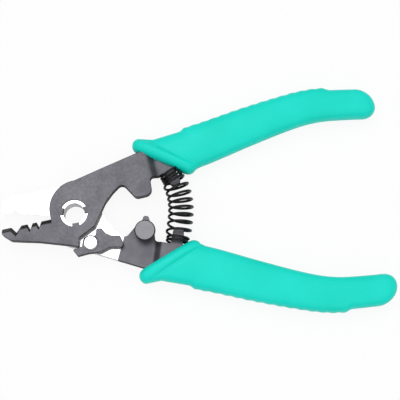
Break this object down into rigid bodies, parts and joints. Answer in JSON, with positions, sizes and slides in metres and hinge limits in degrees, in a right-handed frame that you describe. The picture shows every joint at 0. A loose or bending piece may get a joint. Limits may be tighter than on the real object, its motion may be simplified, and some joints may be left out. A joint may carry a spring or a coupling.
{
  "type": "fibre stripper",
  "caption": "Sprung hand stripper for optical fibre with notched shear jaws, hollow pivot, swing lock lever and two dipped vinyl grips.",
  "frame": {"origin": "on the pivot axis, in the plane where the two stamped halves meet", "axes": "+Z along the pivot axis towards the black jaw half's face, +X from the pivot towards the grips, midway between them, +Y towards the upper grip; the tool lies flat"},
  "size_m": [0.1597, 0.0962, 0.0106],
  "materials": {
    "black_steel": "satin",
    "bright_steel": "polished",
    "spring_steel": "satin",
    "teal_vinyl": "gloss"
  },
  "bodies": {
    "bright_body": {"rear_half": "bright_steel", "stop_post": "black_steel", "lever_rivet": "bright_steel", "return_spring": "spring_steel", "lower_grip": "teal_vinyl"},
    "black_body": {"front_half": "black_steel", "pivot_collar": "bright_steel", "upper_grip": "teal_vinyl"},
    "lever_body": {"lock_lever": "black_steel"}
  },
  "joints": [
    {"name": "handle_pivot", "type": "hinge", "parent": "bright_body", "child": "black_body", "pos_m": [0, 0, 0], "axis": [0, 0, -1], "range_deg": [0, 22], "stiffness_Nm_per_rad": 0.35, "springref_deg": -20.05, "deforming": ["return_spring"]},
    {"name": "lock_lever", "type": "hinge", "parent": "bright_body", "child": "lever_body", "pos_m": [0.00635, -0.01293, 0.0013], "axis": [0, 0, 1], "range_deg": [-3, 8]}
  ]
}
